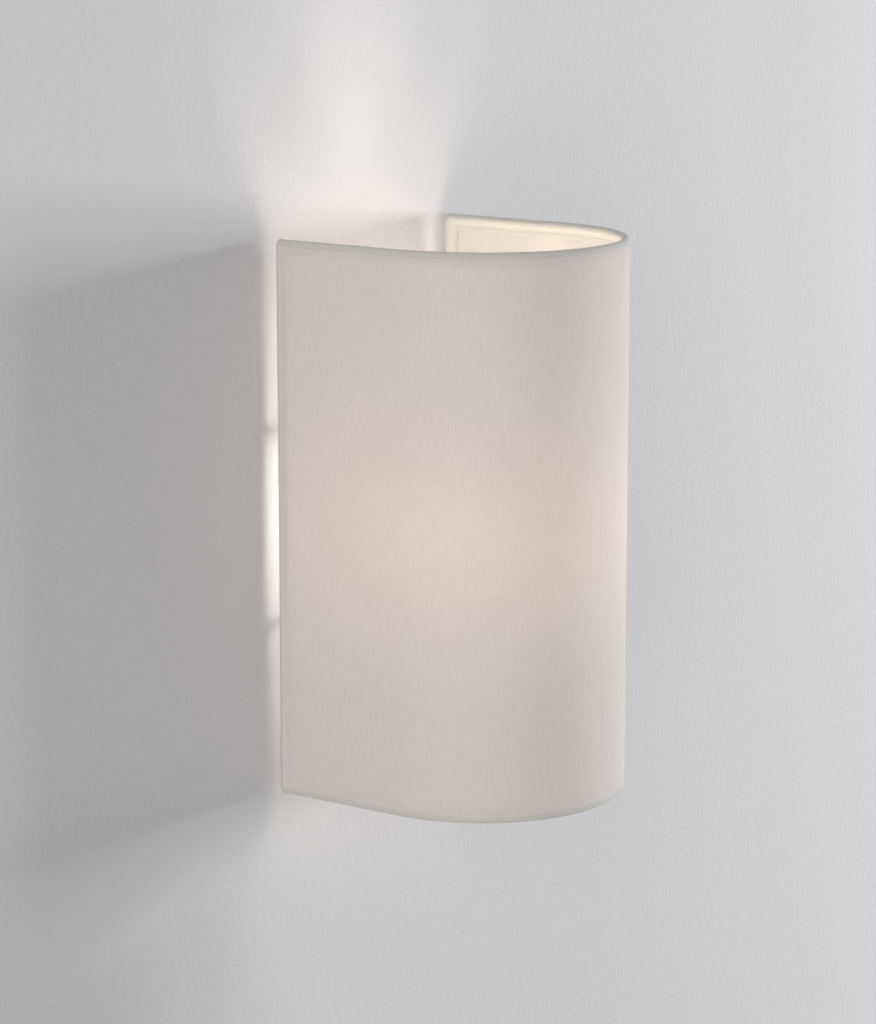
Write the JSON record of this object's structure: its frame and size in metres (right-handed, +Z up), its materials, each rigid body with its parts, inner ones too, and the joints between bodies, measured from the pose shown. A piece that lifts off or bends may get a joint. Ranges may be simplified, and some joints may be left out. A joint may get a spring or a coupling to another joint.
{
  "type": "fabric shade wall light",
  "caption": "Wall light with a U-shaped fabric shade, open above and below, on a wire frame hung from a wall pan that carries a screw lampholder and an opal lamp.",
  "frame": {"origin": "on the wall, at the middle of the wall plate's back face", "axes": "+Z up along the shade, +Y into the wall, +X to the right seen from the room"},
  "size_m": [0.13, 0.135, 0.25],
  "materials": {
    "shade_cloth": "off-white polycotton weave with slubs",
    "shade_laminate": "smooth white laminate",
    "frame_wire": "white coated steel wire",
    "plate_steel": "bright zinc plate",
    "stud_steel": "zinc plated, threaded",
    "pan_paint": "white powder coat",
    "bracket_paint": "white powder coat",
    "nut_nickel": "satin nickel",
    "black_rubber": "matt",
    "block_nylon": "natural nylon",
    "terminal_brass": "bare",
    "brown_wire": "smooth insulation",
    "blue_wire": "smooth insulation",
    "earth_wire": "green and yellow insulation",
    "holder_plastic": "white moulded thermoset",
    "holder_porcelain": "unglazed steatite",
    "holder_nickel": "nickel plated shell",
    "lamp_opal": "opal, lit",
    "lamp_plastic": "white collar",
    "lamp_board": "white lacquered board",
    "lamp_cap": "bright nickel plated cap",
    "lamp_vitrite": "black glass insulator"
  },
  "bodies": {
    "fixture": {"wall_plate": "plate_steel", "plate_studs": "stud_steel", "cable_grommet": "black_rubber", "terminal_block": "block_nylon", "terminal_barrels": "terminal_brass", "terminal_screws": "stud_steel", "block_screws": "stud_steel", "earth_stud": "stud_steel", "earth_tag": "terminal_brass", "earth_nut": "stud_steel", "live_wire": "brown_wire", "neutral_wire": "blue_wire", "earth_wire": "earth_wire", "cover_pan": "pan_paint", "pan_nuts": "stud_steel", "pan_grommet": "black_rubber", "lamp_bracket": "bracket_paint", "bracket_rivets": "stud_steel", "holder_base": "holder_plastic", "holder_base_screws": "stud_steel", "holder_insert": "holder_porcelain", "holder_terminal_screws": "terminal_brass", "holder_thread_shell": "holder_nickel", "holder_centre_contact": "terminal_brass", "holder_skirt": "holder_plastic"},
    "shade": {"shade_fabric": "shade_cloth", "shade_liner": "shade_laminate", "shade_top_ring": "frame_wire", "shade_bottom_ring": "frame_wire", "shade_upright_left": "frame_wire", "shade_upright_right": "frame_wire", "shade_carrier": "frame_wire", "carrier_lug_left": "frame_wire", "carrier_lug_right": "frame_wire", "shade_rest_left": "frame_wire", "shade_rest_right": "frame_wire"},
    "lamp_tip": {"lamp_tip_contact": "terminal_brass"},
    "lamp": {"lamp_diffuser": "lamp_opal", "lamp_collar": "lamp_plastic", "lamp_board": "lamp_board", "lamp_cap_shell": "lamp_cap", "lamp_cap_insulator": "lamp_vitrite"},
    "washer_left": {"washer_left": "nut_nickel"},
    "washer_right": {"washer_right": "nut_nickel"},
    "nut_left": {"nut_left": "nut_nickel"},
    "nut_right": {"nut_right": "nut_nickel"}
  },
  "joints": [
    {"name": "shade_lift", "type": "slide", "parent": "fixture", "child": "shade", "axis": [0, 0, 1], "range_m": [0, 0.16]},
    {"name": "lamp_rise", "type": "slide", "parent": "fixture", "child": "lamp_tip", "axis": [0, 0, 1], "range_m": [0, 0.0165]},
    {"name": "lamp_turn", "type": "hinge", "parent": "lamp_tip", "child": "lamp", "pos_m": [0, -0.07, 0], "axis": [0, 0, 1], "range_deg": [0, 1620]},
    {"name": "washer_left_travel", "type": "slide", "parent": "fixture", "child": "washer_left", "axis": [0, -1, 0], "range_m": [0, 0.0036]},
    {"name": "nut_left_turn", "type": "hinge", "parent": "washer_left", "child": "nut_left", "pos_m": [-0.028, -0.024, 0.028], "axis": [0, -1, 0], "range_deg": [0, 1800]},
    {"name": "washer_right_travel", "type": "slide", "parent": "fixture", "child": "washer_right", "axis": [0, -1, 0], "range_m": [0, 0.0036]},
    {"name": "nut_right_turn", "type": "hinge", "parent": "washer_right", "child": "nut_right", "pos_m": [0.028, -0.024, 0.028], "axis": [0, -1, 0], "range_deg": [0, 1800]}
  ],
  "couplings": [
    {"joint": "lamp_rise", "follows": "lamp_turn", "m_per_rad": 0.00057751},
    {"joint": "washer_left_travel", "follows": "nut_left_turn", "m_per_rad": 0.00011141},
    {"joint": "washer_right_travel", "follows": "nut_right_turn", "m_per_rad": 0.00011141}
  ]
}
